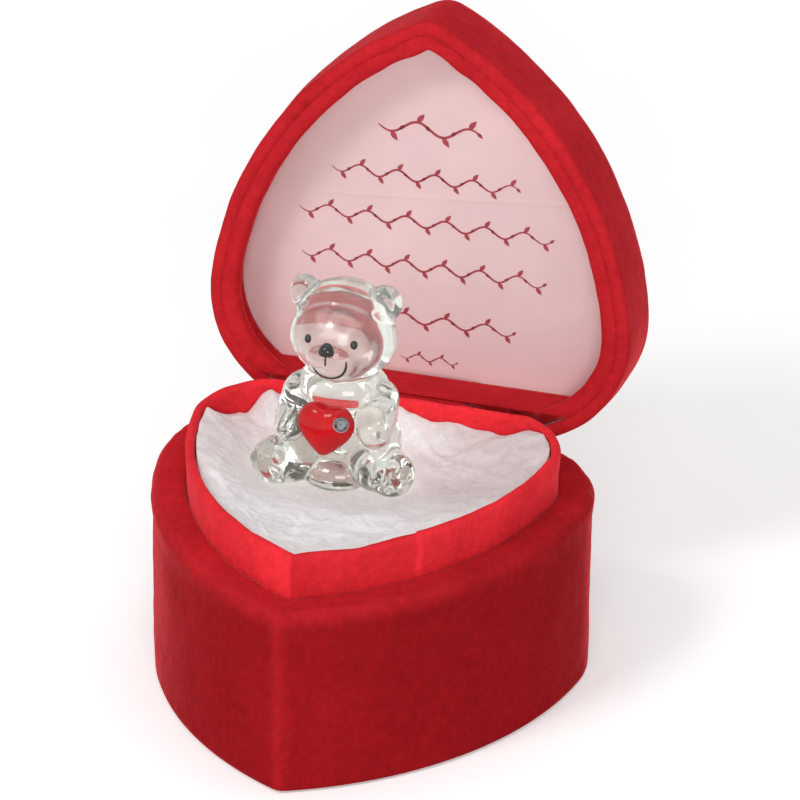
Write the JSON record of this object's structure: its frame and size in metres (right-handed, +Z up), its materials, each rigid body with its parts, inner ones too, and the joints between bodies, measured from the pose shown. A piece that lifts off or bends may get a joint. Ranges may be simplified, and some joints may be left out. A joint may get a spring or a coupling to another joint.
{
  "type": "glass bear figurine in heart case",
  "caption": "Clear glass bear holding a red heart, on white bedding in a red velvet heart-shaped case with a hinged padded lid.",
  "frame": {"origin": "on the resting face, midway between the centres of the two lobes", "axes": "+Z up, the tip of the heart and the bear's face to -Y, the hinge at +Y"},
  "size_m": [0.0898, 0.1166, 0.1253],
  "materials": {
    "shell_plastic": "moulded",
    "red_velvet": "short-pile velvet",
    "felt": "felt",
    "grey_board": "plain board",
    "wadding": "loose fibre",
    "foam": "soft foam",
    "white_sheet": "sheer non-woven",
    "pink_satin": "satin",
    "hinge_brass": "satin",
    "pin_steel": "plain",
    "clear_glass": "polished",
    "black_enamel": "glossy",
    "red_enamel": "glossy",
    "setting_metal": "polished",
    "stone_glass": "cut"
  },
  "bodies": {
    "case_base": {"base_shell": "shell_plastic", "base_velvet": "red_velvet", "base_sole": "felt", "collar_board": "grey_board", "collar_velvet": "red_velvet", "fill_pad": "wadding", "bedding_sheet": "white_sheet", "hinge_base_leaf": "hinge_brass", "hinge_base_rivets": "pin_steel", "hinge_pin": "pin_steel"},
    "lid": {"lid_shell": "shell_plastic", "lid_velvet": "red_velvet", "lid_rim_roll": "red_velvet", "lid_backing_pad": "foam", "panel_card": "grey_board", "satin_panel": "pink_satin", "hinge_lid_leaf": "hinge_brass", "hinge_lid_rivets": "pin_steel"},
    "figurine": {"bear_glass": "clear_glass", "bear_eyes": "black_enamel", "bear_nose": "black_enamel", "bear_mouth": "black_enamel", "heart_charm": "red_enamel", "stone_setting": "setting_metal", "heart_stone": "stone_glass"}
  },
  "joints": [
    {"name": "lid_hinge", "type": "hinge", "parent": "case_base", "child": "lid", "pos_m": [0, 0.0242, 0.0384], "axis": [1, 0, 0], "range_deg": [0, 95]},
    {"name": "figurine_bed", "type": "slide", "parent": "case_base", "child": "figurine", "axis": [0, 0, -1], "range_m": [0, 0.036], "deforming": ["fill_pad", "bedding_sheet"]}
  ],
  "couplings": [
    {"joint": "figurine_bed", "follows": "lid_hinge", "m_per_rad": 0.0217}
  ]
}
